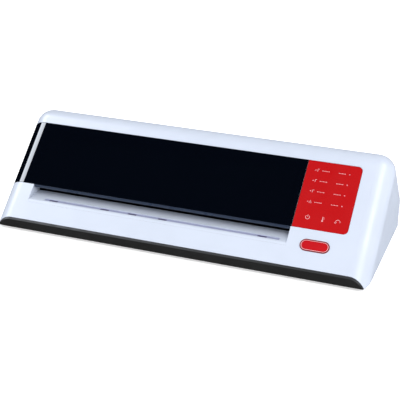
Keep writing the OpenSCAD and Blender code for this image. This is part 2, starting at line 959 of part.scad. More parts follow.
module rocker_housing() color("#1b1c1e") {
    difference() {
        box([rocker_x - rocker_w / 2, rear_y - 14, rear_fit_z - rocker_h / 2],
            [rocker_x + rocker_w / 2, rear_y, rear_fit_z + rocker_h / 2]);
        box([rocker_x - rocker_w / 2 + 1.5, rear_y - 9, rear_fit_z - rocker_h / 2 + 1.5],
            [rocker_x + rocker_w / 2 - 1.5, rear_y + 1, rear_fit_z + rocker_h / 2 - 1.5]);
        translate([rocker_x, rear_y - 4, rear_fit_z - rocker_h])
            cylinder(h = 2 * rocker_h, r = rocker_pin_r + bush_fit);
    }
}

// Rocker paddle: a shallow V that rocks about a pin along Z
module power_rocker() color("#a31119") {
    w = rocker_w / 2 - 2;
    h = rocker_h - 4;
    c = [rocker_x, rear_y - 4];
    translate([0, 0, rear_fit_z - h / 2])
        linear_extrude(h)
            translate(c)
                rotate(-rocker_tilt)
                    polygon([[-w, 2.2], [0, 3.2], [w, 2.2], [w - 1, -1],
                        [2, -2.5], [-2, -2.5], [-w + 1, -1]]);
    translate([c[0], c[1], rear_fit_z - rocker_h / 2 + 0.2])
        cylinder(h = rocker_h - 0.4, r = rocker_pin_r);
}

top_cover();
fascia_panel();
visor_strip();
control_overlay();
status_lights();
touch_keys();
badge();
feed_table();
entry_guide_lower();
entry_guide_upper();
base_pan();
rubber_feet();
base_screws();
exit_frame();
exit_guide_lower();
exit_guide_upper();
transfer_guide_lower();
transfer_guide_upper();
frame_left();
frame_right();
cross_bars();
frame_screws();
lower_bushes();
hot_upper_bushes();
pull_upper_bushes();
hot_springs();
pull_springs();
spring_seats();
hot_lower_core();
hot_lower_sleeve();
hot_lower_gear();
hot_upper_core();
hot_upper_sleeve();
hot_upper_gear();
pull_lower_core();
pull_lower_sleeve();
pull_lower_gear();
pull_upper_core();
pull_upper_sleeve();
pull_upper_gear();
idler_gear();
idler_post();
drive_pinion();
drive_motor();
motor_bracket();
motor_screws();
upper_heat_shoe();
lower_heat_shoe();
upper_heater_film();
lower_heater_film();
heat_shield();
thermostat();
thermal_fuse();
control_board();
power_board();
power_inlet();
rocker_housing();
power_rocker();
board_screws();
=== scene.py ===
import json
import math
import bmesh
import bpy
from mathutils import Matrix, Vector


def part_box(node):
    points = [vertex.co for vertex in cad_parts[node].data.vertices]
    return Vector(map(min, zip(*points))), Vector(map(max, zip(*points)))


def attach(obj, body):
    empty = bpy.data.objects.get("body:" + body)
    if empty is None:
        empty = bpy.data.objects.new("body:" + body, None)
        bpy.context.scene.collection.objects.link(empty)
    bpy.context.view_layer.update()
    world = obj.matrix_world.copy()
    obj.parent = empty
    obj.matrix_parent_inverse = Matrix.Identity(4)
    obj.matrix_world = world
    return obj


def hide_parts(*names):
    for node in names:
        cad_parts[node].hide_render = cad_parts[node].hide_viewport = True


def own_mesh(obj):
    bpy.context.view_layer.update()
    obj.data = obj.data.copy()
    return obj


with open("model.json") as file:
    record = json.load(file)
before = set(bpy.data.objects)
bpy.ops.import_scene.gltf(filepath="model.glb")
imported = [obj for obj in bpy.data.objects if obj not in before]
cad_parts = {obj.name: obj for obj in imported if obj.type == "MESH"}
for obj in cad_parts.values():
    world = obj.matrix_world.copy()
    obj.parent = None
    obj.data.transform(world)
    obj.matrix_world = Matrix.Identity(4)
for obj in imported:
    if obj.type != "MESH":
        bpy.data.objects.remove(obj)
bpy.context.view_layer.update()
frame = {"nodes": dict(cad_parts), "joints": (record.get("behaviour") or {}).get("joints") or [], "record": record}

MM = 0.001
BODY = "casing"

# ---------- places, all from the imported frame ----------
COVER_LO, COVER_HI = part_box("top_cover")
FASCIA_LO, FASCIA_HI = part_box("fascia_panel")
OVERLAY_LO, OVERLAY_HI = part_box("control_overlay")
VISOR_LO, VISOR_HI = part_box("visor_strip")
TABLE_LO, TABLE_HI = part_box("feed_table")
EXIT_LO, EXIT_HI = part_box("exit_frame")
INLET_LO, INLET_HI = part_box("power_inlet")
SWITCH_LO, SWITCH_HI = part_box("rocker_housing")
BASE_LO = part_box("base_pan")[0]

SLACK = 0.3 * MM
EDGE_R = 23.5 * MM
WALL = 2.5 * MM
SKIN_T = 2 * MM
PANEL_T = 3 * MM
SLOPE = math.radians(40.3)
REAR_SLOPE = math.radians(50)
CHIN_T = 2.3 * MM
FASCIA_LEN = 95 * MM
OVERLAY_ROUND = 6 * MM

ALONG = Vector((0, math.cos(SLOPE), math.sin(SLOPE)))
OUT = Vector((0, -math.sin(SLOPE), math.cos(SLOPE)))
FASCIA_EDGE = Vector((0, FASCIA_LO.y, VISOR_HI.z + SLACK))
HALF_W = COVER_HI.x
BOTTOM_Z = COVER_LO.z
FRONT_CX = HALF_W - EDGE_R
RIDGE_S = (COVER_HI.z - FASCIA_EDGE.z - EDGE_R * (1 - math.cos(SLOPE))) / math.sin(SLOPE)
RIDGE = FASCIA_EDGE + ALONG * RIDGE_S - OUT * EDGE_R
REAR_Y = COVER_HI.y - EDGE_R
REAR_TOP_Z = RIDGE.z - (REAR_Y - RIDGE.y) * math.tan(REAR_SLOPE)
FRONT_Y = BASE_LO.y
COVER_FRONT = FRONT_Y + CHIN_T + SLACK


def slope_s(z):
    """Distance up the front face of the point at height z."""
    return (z - FASCIA_EDGE.z) / math.sin(SLOPE)


def face_z(r, y):
    """Height of the front face, rounded with radius r, at y."""
    return FASCIA_EDGE.z + (y - FASCIA_EDGE.y) * math.tan(SLOPE) - (EDGE_R - r) / math.cos(SLOPE)


def face_y(r, z):
    """The y of the same face at height z."""
    return FASCIA_EDGE.y + (z - FASCIA_EDGE.z) / math.tan(SLOPE) + (EDGE_R - r) / math.sin(SLOPE)


def on_front(x, s, out=0.0):
    """A point on the front face: x along, s up the slope, out from it."""
    return FASCIA_EDGE + ALONG * s + OUT * out + Vector((x, 0, 0))


# ---------- mesh helpers ----------
def add_object(name, bm, material, replaces=(), body=BODY, smooth=True):
    """Makes a named piece from bm, on its body and the nodes it replaces."""
    mesh = bpy.data.meshes.new(name)
    bm.to_mesh(mesh)
    bm.free()
    obj = bpy.data.objects.new(name, mesh)
    bpy.context.scene.collection.objects.link(obj)
    for face in mesh.polygons:
        face.use_smooth = smooth
    mesh.materials.append(material)
    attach(obj, body)
    if replaces:
        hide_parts(*replaces)
    return obj


def solidify(obj, thickness, offset=-1.0):
    """Gives a sheet its thickness."""
    mod = obj.modifiers.new("Wall", "SOLIDIFY")
    mod.thickness = thickness
    mod.offset = offset
    mod.use_even_offset = True
    mod.use_quality_normals = True
    return obj


def soften(obj, width, segments=2, angle=35.0):
    """Rounds the sharp edges and keeps the flat faces flat."""
    mod = obj.modifiers.new("Edges", "BEVEL")
    mod.width = width
    mod.segments = segments
    mod.limit_method = "ANGLE"
    mod.angle_limit = math.radians(angle)
    mod.use_clamp_overlap = True
    mod.harden_normals = False
    flat = obj.modifiers.new("Normals", "WEIGHTED_NORMAL")
    flat.keep_sharp = True
    flat.weight = 80
    return obj


def grid_faces(bm, grid, keep=None):
    """Joins rows of vertices into quads. keep(i, j) says which cells are there."""
    for i in range(len(grid) - 1):
        for j in range(len(grid[i]) - 1):
            if keep and not keep(i, j):
                continue
            corners = (grid[i][j], grid[i][j + 1], grid[i + 1][j + 1], grid[i + 1][j])
            if len(set(corners)) == len(corners):
                bm.faces.new(corners)


def tidy_mesh(bm, gap=1e-6):
    """Merges doubled vertices, drops loose ones and turns the faces outward."""
    bmesh.ops.remove_doubles(bm, verts=bm.verts, dist=gap)
    loose = [v for v in bm.verts if not v.link_faces]
    bmesh.ops.delete(bm, geom=loose, context="VERTS")
    bmesh.ops.recalc_face_normals(bm, faces=bm.faces)


def box_into(bm, lo, hi):
    """Adds a closed box between two corners."""
    made = bmesh.ops.create_cube(bm, size=1.0)["verts"]
    lo, hi = Vector(lo), Vector(hi)
    for v in made:
        v.co = Vector(((lo[k] + hi[k]) / 2 + v.co[k] * (hi[k] - lo[k]) for k in range(3)))
    return made


def round_rect(w, h, r, steps=6):
    """A rounded rectangle outline round the origin, counter-clockwise."""
    points = []
    for cx, cy, start in ((1, 1, 0), (-1, 1, 90), (-1, -1, 180), (1, -1, 270)):
        for k in range(steps + 1):
            a = math.radians(start + 90 * k / steps)
            points.append((cx * (w / 2 - r) + r * math.cos(a), cy * (h / 2 - r) + r * math.sin(a)))
    return points


def loops_into(bm, loops, cap_first=False, cap_last=False, closed=False):
    """Skins a list of point loops of equal length, in order."""
    rings = [[bm.verts.new(p) for p in loop] for loop in loops]
    pairs = list(zip(rings, rings[1:]))
    if closed:
        pairs.append((rings[-1], rings[0]))
    for a, b in pairs:
        n = len(a)
        for k in range(n):
            bm.faces.new((a[k], a[(k + 1) % n], b[(k + 1) % n], b[k]))
    if cap_first:
        bm.faces.new(list(reversed(rings[0])))
    if cap_last:
        bm.faces.new(rings[-1])
    return rings


def cut(obj, boxes):
    """Cuts boxes out of a piece and keeps the result as its mesh."""
    bm = bmesh.new()
    for lo, hi in boxes:
        box_into(bm, lo, hi)
    mesh = bpy.data.meshes.new("cutter")
    bm.to_mesh(mesh)
    bm.free()
    cutter = bpy.data.objects.new("cutter", mesh)
    bpy.context.scene.collection.objects.link(cutter)
    mod = obj.modifiers.new("Cut", "BOOLEAN")
    mod.operation = "DIFFERENCE"
    mod.solver = "EXACT"
    mod.object = cutter
    depsgraph = bpy.context.evaluated_depsgraph_get()
    result = bpy.data.meshes.new_from_object(obj.evaluated_get(depsgraph))
    obj.modifiers.clear()
    old = obj.data
    obj.data = result
    bpy.data.meshes.remove(old)
    bpy.data.objects.remove(cutter)
    bpy.data.meshes.remove(mesh)
    return obj


# ---------- materials ----------
class Paint:
    """Builds one node material on a Principled shader."""

    def __init__(self, name, colour, roughness, metallic=0.0, specular=0.5):
        self.material = bpy.data.materials.new(name)
        self.material.use_nodes = True
        self.tree = self.material.node_tree
        self.shader = self.tree.nodes["Principled BSDF"]
        self.colour = colour
        self.roughness = roughness
        self.shader.inputs["Metallic"].default_value = metallic
        self.shader.inputs["Specular IOR Level"].default_value = specular
        self.coords = self.tree.nodes.new("ShaderNodeTexCoord")

    def link(self, a, b):
        self.tree.links.new(a, b)

    def noise(self, scale, detail=4.0, stretch=(1, 1, 1), rough=0.5):
        mapping = self.tree.nodes.new("ShaderNodeMapping")
        mapping.inputs["Scale"].default_value = stretch
        self.link(self.coords.outputs["Object"], mapping.inputs["Vector"])
        node = self.tree.nodes.new("ShaderNodeTexNoise")
        node.inputs["Scale"].default_value = scale
        node.inputs["Detail"].default_value = detail
        node.inputs["Roughness"].default_value = rough
        self.link(mapping.outputs["Vector"], node.inputs["Vector"])
        return node.outputs["Fac"]

    def spread(self, value, low, high):
        node = self.tree.nodes.new("ShaderNodeMapRange")
        node.inputs["From Min"].default_value = 0.3
        node.inputs["From Max"].default_value = 0.7
        node.inputs["To Min"].default_value = low
        node.inputs["To Max"].default_value = high
        self.link(value, node.inputs["Value"])
        return node.outputs["Result"]

    def tint(self, value, share):
        """Lets the colour vary by a share on both sides of its mean."""
        ramp = self.tree.nodes.new("ShaderNodeValToRGB")
        ramp.color_ramp.elements[0].position = 0.3
        ramp.color_ramp.elements[1].position = 0.7
        for element, factor in zip(ramp.color_ramp.elements, (1 - share, 1 + share)):
            element.color = [min(1.0, c * factor) for c in self.colour] + [1.0]
        self.link(value, ramp.inputs["Fac"])
        return ramp.outputs["Color"]

    def bump(self, value, distance, strength=1.0):
        node = self.tree.nodes.new("ShaderNodeBump")
        node.inputs["Strength"].default_value = strength
        node.inputs["Distance"].default_value = distance
        self.link(value, node.inputs["Height"])
        self.link(node.outputs["Normal"], self.shader.inputs["Normal"])

    def finish(self, tint_scale, tint_share, grain_scale, grain_depth, rough_share=0.2, stretch=(1, 1, 1)):
        """Colour drift, a roughness drift and a fine grain."""
        drift = self.noise(tint_scale, 5.0, stretch)
        self.link(self.tint(drift, tint_share), self.shader.inputs["Base Color"])
        wear = self.noise(tint_scale * 3.1, 6.0, stretch)
        low, high = self.roughness * (1 - rough_share), min(1.0, self.roughness * (1 + rough_share))
        self.link(self.spread(wear, low, high), self.shader.inputs["Roughness"])
        grain = self.noise(grain_scale, 2.0, stretch, 0.7)
        self.bump(grain, grain_depth, 0.6)
        return self.material


def gloss_plastic(name, colour, roughness, specular=0.5, grain=900, depth=0.004 * MM):
    paint = Paint(name, colour, roughness, specular=specular)
    return paint.finish(14.0, 0.025, grain, depth)


def matt_plastic(name, colour, roughness=0.55, grain=1400, depth=0.05 * MM):
    return Paint(name, colour, roughness, specular=0.4).finish(22.0, 0.10, grain, depth)


def metal(name, colour, roughness, stretch=(1, 1, 1), grain=900, depth=0.01 * MM):
    return Paint(name, colour, roughness, metallic=1.0).finish(30.0, 0.08, grain, depth, 0.35, stretch)


def rubber(name, colour, roughness=0.7):
    return Paint(name, colour, roughness, specular=0.3).finish(25.0, 0.12, 2200, 0.03 * MM)


def make_materials():
    """Every paint by name; the first ones are the record's own slots."""
    return {
        "cover_white": gloss_plastic("cover_white", (0.56, 0.61, 0.71), 0.36, 0.25),
        "fascia_black": gloss_plastic(
            "fascia_black", (0.0010, 0.0018, 0.0040), 0.022, 0.45, 900, 0.0004 * MM
        ),
        # The visor is black plastic; its blue-grey base colour is a painted reflection of the pale feed table in
        # its glossy edge.
        "visor_grey": gloss_plastic("visor_grey", (0.022, 0.034, 0.062), 0.30),
        "overlay_red": gloss_plastic("overlay_red", (0.43, 0.0040, 0.0056), 0.34, 0.06),
        "light_lens": gloss_plastic("light_lens", (0.66, 0.20, 0.23), 0.25),
        "pad_foam": rubber("pad_foam", (0.62, 0.62, 0.64), 0.85),
        "base_dark": matt_plastic("base_dark", (0.0125, 0.0125, 0.0125), 0.60),
        "guide_black": matt_plastic("guide_black", (0.010, 0.011, 0.013), 0.45),
        "foot_rubber": rubber("foot_rubber", (0.015, 0.015, 0.016)),
        "screw_steel": metal("screw_steel", (0.55, 0.56, 0.58), 0.32),
        "frame_steel": metal("frame_steel", (0.60, 0.62, 0.64), 0.36, (1, 1, 8)),
        "bush_brass": metal("bush_brass", (0.72, 0.52, 0.24), 0.38),
        "spring_steel": metal("spring_steel", (0.50, 0.51, 0.53), 0.28),
        "core_steel": metal("core_steel", (0.60, 0.61, 0.63), 0.25, (20, 1, 1)),
        "hot_silicone": rubber("hot_silicone", (0.33, 0.075, 0.035), 0.62),
        "pull_silicone": rubber("pull_silicone", (0.045, 0.045, 0.05), 0.66),
        "gear_nylon": matt_plastic("gear_nylon", (0.74, 0.70, 0.60), 0.42),
        "motor_steel": metal("motor_steel", (0.42, 0.43, 0.45), 0.40, (1, 1, 4)),
        "shoe_aluminium": metal("shoe_aluminium", (0.76, 0.77, 0.79), 0.34, (12, 1, 1)),
        "heater_mica": matt_plastic("heater_mica", (0.52, 0.34, 0.14), 0.50, 300),
        "board_green": matt_plastic("board_green", (0.02, 0.14, 0.05), 0.35, 500),
        "socket_black": matt_plastic("socket_black", (0.012, 0.012, 0.013), 0.42),
        "rocker_red": gloss_plastic("rocker_red", (0.42, 0.012, 0.015), 0.22),
        "badge_rim": gloss_plastic("badge_rim", (0.16, 0.002, 0.004), 0.34, 0.1),
        "badge_red": gloss_plastic("badge_red", (0.46, 0.004, 0.008), 0.30, 0.1),
        "badge_line": gloss_plastic("badge_line", (0.86, 0.42, 0.44), 0.30),
        "groove_shade": gloss_plastic("groove_shade", (0.31, 0.33, 0.50), 0.45),
        "slot_shade": gloss_plastic("slot_shade", (0.07, 0.06, 0.15), 0.45),
        "print_ink": gloss_plastic("print_ink", (0.74, 0.36, 0.38), 0.40),
        "blade_metal": metal("blade_metal", (0.66, 0.64, 0.58), 0.30),
    }


def dress_cad_nodes(paints):
    """Every CAD node takes the material of its own slot."""
    for row in frame["record"]["subparts"]:
        obj = frame["nodes"].get(row["node"])
        paint = paints.get(row.get("material_slot"))
        if obj is None or paint is None:
            continue
        obj.data.materials.clear()
        obj.data.materials.append(paint)


# ---------- the casing's outer surface ----------
END_ANGLES = [90, 86.5, 80, 73, 66, 59, 52, 45, 38, 31, 24, 17, 11, 5.5]
ARC_STEPS = 12
RECESS_X0 = VISOR_LO.x - SLACK
RECESS_X1 = VISOR_HI.x + SLACK
POCKET_X1 = OVERLAY_HI.x + SLACK
POCKET_ROUND = OVERLAY_ROUND + SLACK
POCKET_S0 = -SLACK
POCKET_S1 = FASCIA_LEN + SLACK
S_LIP = slope_s(TABLE_LO.z)
S_TABLE = slope_s(TABLE_HI.z)
VENT_N = 12
VENT_PITCH = 24 * MM
VENT_W = 16 * MM
VENT_L = 3 * MM
VENT_AT = 0.539
VENT_SHARE = VENT_L * math.cos(REAR_SLOPE) / (REAR_Y - RIDGE.y)


def start_s(r):
    """Where the cover's lower edge cuts the front face that has rounding radius r."""
    low = Vector((0, face_y(r, BOTTOM_Z), BOTTOM_Z))
    front = Vector((0, COVER_FRONT, face_z(r, COVER_FRONT)))
    return max((p - FASCIA_EDGE).dot(ALONG) for p in (low, front))


def front_rows(r):
    """Distances up the front face of the rows, for rounding radius r."""
    start = start_s(r)
    fixed = [-38 * MM, -32 * MM, S_LIP, S_TABLE, POCKET_S0, POCKET_S0 + POCKET_ROUND]
    fixed += [22 * MM, 46 * MM, 70 * MM, POCKET_S1 - POCKET_ROUND, POCKET_S1, RIDGE_S]
    return [start] + fixed


VENT_F0 = VENT_AT - VENT_SHARE / 2
VENT_F1 = VENT_AT + VENT_SHARE / 2
SLOPE_ROWS = [0.0, 0.2, VENT_F0, VENT_F1, 0.8, 1.0]
HIGH_EDGES = [EXIT_HI.z + SLACK, INLET_HI.z + SLACK]
REAR_ARC = [math.radians(a) for a in (36, 32, 24, 20, 16, 12, 4)]
REAR_ARC += [math.asin((z - REAR_TOP_Z) / EDGE_R) for z in HIGH_EDGES]
REAR_ARC.sort(reverse=True)
REAR_ROWS = [
    REAR_TOP_Z, SWITCH_HI.z + SLACK, EXIT_LO.z - SLACK, SWITCH_LO.z - SLACK,
    INLET_LO.z - SLACK, 14 * MM, 9 * MM, BOTTOM_Z,
]


def ring(r):
    """The casing's profile for rounding radius r, as (y, z) points."""
    points = []
    for s in front_rows(r):
        p = FASCIA_EDGE + ALONG * s + OUT * (r - EDGE_R)
        points.append((p.y, p.z))
    start, end = math.pi / 2 + SLOPE, math.pi / 2 - REAR_SLOPE
    for k in range(1, ARC_STEPS):
        a = start + (end - start) * k / ARC_STEPS
        points.append((RIDGE.y + r * math.cos(a), RIDGE.z + r * math.sin(a)))
    for f in SLOPE_ROWS:
        y = RIDGE.y + (REAR_Y - RIDGE.y) * f
        z = RIDGE.z + (REAR_TOP_Z - RIDGE.z) * f
        points.append((y + r * math.cos(end), z + r * math.sin(end)))
    for a in REAR_ARC:
        points.append((REAR_Y + r * math.cos(a), REAR_TOP_Z + r * math.sin(a)))
    for z in REAR_ROWS:
        points.append((REAR_Y + r, z))
    return points


N_FRONT = 13
ROW_SLOPE = N_FRONT + ARC_STEPS - 1
ROW_ARC = ROW_SLOPE + len(SLOPE_ROWS)
ROW_REAR = ROW_ARC + len(REAR_ARC)
PROFILE = ring(EDGE_R)


def vent_spans():
    """Start and end x of every cooling slot."""
    centre = (EXIT_LO.x + EXIT_HI.x) / 2
    spans = []
    for i in range(VENT_N):
        x = centre + (i - (VENT_N - 1) / 2) * VENT_PITCH
        spans.append((x - VENT_W / 2, x + VENT_W / 2))
    return spans


OPENINGS = [
    (lo.x - SLACK, hi.x + SLACK, lo.z - SLACK, hi.z + SLACK)
    for lo, hi in ((EXIT_LO, EXIT_HI), (INLET_LO, INLET_HI), (SWITCH_LO, SWITCH_HI))
]


def column_list():
    """Columns across the casing, as (flat x, end angle in degrees)."""
    flats = {-FRONT_CX, FRONT_CX, RECESS_X0, RECESS_X1, POCKET_X1 - POCKET_ROUND, POCKET_X1}
    for x0, x1, _, _ in OPENINGS:
        flats.update((x0, x1))
    for x0, x1 in vent_spans():
        flats.update((x0, x1))
    left = [(-FRONT_CX, -a) for a in END_ANGLES]
    right = [(FRONT_CX, a) for a in reversed(END_ANGLES)]
    return left + [(x, 0.0) for x in sorted(flats)] + right


COLUMNS = column_list()


def shell_point(column, row_points, i, inset=0.0):
    """The point of the casing's surface in one column and row."""
    x, angle = column
    y, z = row_points[i]
    side = (EDGE_R - inset) * math.sin(math.radians(angle))
    return Vector((x + side, y, z))


def shell_rings(inset=0.0):
    """One profile for each column, smaller towards the rounded ends."""
    rings = []
    for _, angle in COLUMNS:
        r = (EDGE_R - inset) * math.cos(math.radians(angle)) if abs(angle) < 90 else 0.0
        rings.append(ring(max(r, 0.0)))
    return rings


def cell_middle(i, j):
    """Middle of one cell: s up the front, or None behind it, then x and end angle."""
    rows = front_rows(EDGE_R)
    s = (rows[i] + rows[i + 1]) / 2 if i + 1 < N_FRONT else None
    a, b = COLUMNS[j], COLUMNS[j + 1]
    return s, (a[0] + b[0]) / 2, (a[1] + b[1]) / 2


WRAP_ANGLE = 86.5


def in_pocket(s, x, angle):
    """Whether the fascia and the overlay lie over this cell."""
    return POCKET_S0 < s < POCKET_S1 and x < POCKET_X1 and -WRAP_ANGLE < angle <= 0


def in_recess(s, x, angle):
    """Whether this cell is in the feed recess."""
    return S_LIP < s < POCKET_S0 and RECESS_X0 < x < RECESS_X1 and angle == 0


def in_rear_opening(i, j):
    """Whether a slot or a rear part goes through this cell."""
    _, x, angle = cell_middle(i, j)
    if angle:
        return False
    if i == ROW_SLOPE + 2:
        return any(x0 < x < x1 for x0, x1 in vent_spans())
    if i < ROW_ARC:
        return False
    z = (PROFILE[i][1] + PROFILE[i + 1][1]) / 2 if i + 1 < len(PROFILE) else 0.0
    return any(x0 < x < x1 and z0 < z < z1 for x0, x1, z0, z1 in OPENINGS)


def keep_cover(i, j):
    s, x, angle = cell_middle(i, j)
    if s is not None and (in_pocket(s, x, angle) or in_recess(s, x, angle)):
        return False
    return not in_rear_opening(i, j)


def pocket_corners(bm):
    """Fills the two rounded right corners of the fascia's pocket."""
    cx = POCKET_X1 - POCKET_ROUND
    for s, sign in ((POCKET_S0, 1), (POCKET_S1, -1)):
        loop = [(POCKET_X1, s)]
        for k in range(9):
            a = math.radians(90 * k / 8)
            loop.append((cx + POCKET_ROUND * math.cos(a), s + sign * POCKET_ROUND * (1 - math.sin(a))))
        bm.faces.new([bm.verts.new(on_front(x, t)) for x, t in loop])


def recess_walls(bm):
    """Side walls of the feed recess, hung from the front face."""
    back = TABLE_HI.y
    skin = PANEL_T + SLACK + SKIN_T
    for x in (RECESS_X0, RECESS_X1):
        points = [on_front(x, s) for s in (S_LIP, S_TABLE, POCKET_S0)]
        points.append(Vector((x, FASCIA_EDGE.y + skin * math.sin(SLOPE), VISOR_LO.z)))
        points.append(Vector((x, back, VISOR_LO.z)))
        points.append(Vector((x, back, TABLE_LO.z)))
        bm.faces.new([bm.verts.new(p) for p in points])


def end_caps(bm, grid):
    """Closes each end with rows of quads from the front edge to the rear edge."""
    for j in (0, len(COLUMNS) - 1):
        front = [grid[i][j].co.copy() for i in range(N_FRONT)]
        rear = [grid[i][j].co.copy() for i in range(len(grid) - 1, ROW_REAR - 1, -1)]
        rear += [grid[i][j].co.copy() for i in range(ROW_SLOPE + len(SLOPE_ROWS) - 2, ROW_SLOPE - 1, -1)]
        steps = 6
        rows = []
        for a, b in zip(front, rear):
            rows.append([bm.verts.new(a.lerp(b, k / steps)) for k in range(steps + 1)])
        grid_faces(bm, rows)


def build_cover(paints):
    bm = bmesh.new()
    rings = shell_rings()
    count = len(rings[0])
    grid = [[bm.verts.new(shell_point(c, rings[j], i)) for j, c in enumerate(COLUMNS)] for i in range(count)]
    grid_faces(bm, grid, keep_cover)
    end_caps(bm, grid)
    pocket_corners(bm)
    recess_walls(bm)
    tidy_mesh(bm, 2e-6)
    cover = add_object("cover_shell", bm, paints["cover_white"], ("top_cover",))
    solidify(cover, WALL)
    soften(cover, 0.35 * MM)
    return cover


def front_sheet(bm, rows, columns, depth=0.0):
    """A sheet on the front face and round its left end, depth below the surface."""
    grid = []
    for s in rows:
        line = []
        for x, angle in columns:
            a = math.radians(abs(angle))
            r = EDGE_R - depth
            p = on_front(x, s, r * math.cos(a) - EDGE_R)
            p.x += math.copysign(r * math.sin(a), angle) if angle else 0.0
            line.append(bm.verts.new(p))
        grid.append(line)
    grid_faces(bm, grid)


LEFT_COLUMNS = [(-FRONT_CX, -a) for a in [86] + list(range(84, 0, -4))]


def build_backing(paints):
    """The cover's skin under the fascia and the overlay."""
    bm = bmesh.new()
    rows = [POCKET_S0, FASCIA_LEN / 2, POCKET_S1]
    columns = LEFT_COLUMNS + [(x, 0.0) for x in (-FRONT_CX, 0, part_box("control_board")[0].x)]
    front_sheet(bm, rows, columns, PANEL_T + SLACK)
    tidy_mesh(bm)
    skin = add_object("cover_backing", bm, paints["cover_white"], ("top_cover",))
    return solidify(skin, SKIN_T)


FASCIA_ROWS = 10
PANEL_GAP = 0.1 * MM


def build_fascia(paints):
    """The black panel on the front slope and round the left end."""
    bm = bmesh.new()
    rows = [FASCIA_LEN * k / FASCIA_ROWS for k in range(FASCIA_ROWS + 1)]
    flat_columns = (-FRONT_CX, -150 * MM, -75 * MM, 0, 75 * MM, FASCIA_HI.x)
    columns = LEFT_COLUMNS + [(x, 0.0) for x in flat_columns]
    front_sheet(bm, rows, columns)
    tidy_mesh(bm)
    fascia = add_object("fascia_gloss", bm, paints["fascia_black"], ("fascia_panel",))
    solidify(fascia, PANEL_T - PANEL_GAP)
    return soften(fascia, 0.4 * MM, 3)


def plate_on_front(bm, outline, top, bottom):
    """A plate on the front face from a list of (x, s) points."""
    loops = [[on_front(x, s, out) for x, s in outline] for out in (bottom, top)]
    loops_into(bm, loops, cap_first=True, cap_last=True)
    bmesh.ops.recalc_face_normals(bm, faces=bm.faces)


def build_overlay(paints):
    """The red touch panel, with rounded right corners."""
    x0, x1 = OVERLAY_LO.x, OVERLAY_HI.x
    cx = x1 - OVERLAY_ROUND
    outline = [(x0, 0.0)]
    for s, sign, turn in ((0.0, 1, 0), (FASCIA_LEN, -1, 1)):
        arc = []
        for k in range(9):
            a = math.radians(90 * k / 8)
            arc.append((cx + OVERLAY_ROUND * math.sin(a), s + sign * OVERLAY_ROUND * (1 - math.cos(a))))
        outline += list(reversed(arc)) if turn else arc
    outline.append((x0, FASCIA_LEN))
    bm = bmesh.new()
    plate_on_front(bm, outline, 0.0, -PANEL_T + PANEL_GAP)
    overlay = add_object("overlay_panel", bm, paints["overlay_red"], ("control_overlay",))
    return soften(overlay, 0.35 * MM, 3)


def build_visor(paints):
    """The edge strip that hangs under the fascia; its blue-grey paint is a painted reflection of the feed table in
    a black edge.
    """
    skin = (PANEL_T + SLACK + SKIN_T) * math.sin(SLOPE)
    y0, z0, z1 = VISOR_LO.y, VISOR_LO.z, VISOR_HI.z
    profile = [(y0, z1), (y0, z0 + 1.2 * MM), (y0 + 0.5 * MM, z0 + 0.4 * MM), (y0 + 1.3 * MM, z0)]
    profile += [(y0 + skin, z0), (VISOR_HI.y, z1 - (VISOR_HI.y - y0) / math.tan(SLOPE))]
    bm = bmesh.new()
    loops = [[Vector((x, y, z)) for y, z in profile] for x in (VISOR_LO.x, VISOR_HI.x)]
    loops_into(bm, loops, cap_first=True, cap_last=True)
    bmesh.ops.recalc_face_normals(bm, faces=bm.faces)
    visor = add_object("visor_edge", bm, paints["visor_grey"], ("visor_strip",))
    return soften(visor, 0.15 * MM, 2)


GROOVE_IN = 3 * MM
GROOVE_W = 7 * MM
GROOVE_D = 1.2 * MM
SLOT_IN = 2.5 * MM
SLOT_W = 2 * MM
SLOT_D = 1.8 * MM
SLOT_L = 12 * MM
POUCH_W = 332 * MM
SLOT_PLACES = (0.04, 0.27, 0.39, 0.52, 0.93)


def build_table(paints):
    """The feed table, with its rounded front lip, long groove and deeper slots."""
    back, top, low = TABLE_HI.y, TABLE_HI.z, TABLE_LO.z
    front = TABLE_LO.y + (top - low) / math.tan(SLOPE)
    lip = 2.2 * MM
    profile = [(back, low), (back, top), (front + lip, top)]
    corner = Vector((front, top))
    into = Vector((front + lip, top))
    out_of = corner - Vector((math.cos(SLOPE), math.sin(SLOPE))) * lip
    for k in range(1, 6):
        t = k / 6
        p = into.lerp(corner, t).lerp(corner.lerp(out_of, t), t)
        profile.append((p.x, p.y))
    profile += [(out_of.x, out_of.y), (TABLE_LO.y, low)]
    bm = bmesh.new()
    loops = [[Vector((x, y, z)) for y, z in profile] for x in (TABLE_LO.x, TABLE_HI.x)]
    loops_into(bm, loops, cap_first=True, cap_last=True)
    bmesh.ops.recalc_face_normals(bm, faces=bm.faces)
    table = add_object("feed_shelf", bm, paints["cover_white"], ("feed_table",))
    centre = (EXIT_LO.x + EXIT_HI.x) / 2
    x0, x1 = centre - POUCH_W / 2, centre + POUCH_W / 2
    y0 = front + GROOVE_IN
    above = top + 2 * MM
    cut(table, [((x0, y0, top - GROOVE_D), (x1, y0 + GROOVE_W, above))])
    slots = []
    for f in SLOT_PLACES:
        x = x0 + f * POUCH_W
        lo = (x - SLOT_L / 2, y0 + SLOT_IN, top - SLOT_D)
        slots.append((lo, (x + SLOT_L / 2, y0 + SLOT_IN + SLOT_W, above)))
    cut(table, slots)
    for face in table.data.polygons:
        face.use_smooth = True
    soften(table, 0.15 * MM, 2, 50)
    build_strip(paints, x0, x1, y0, top - GROOVE_D)


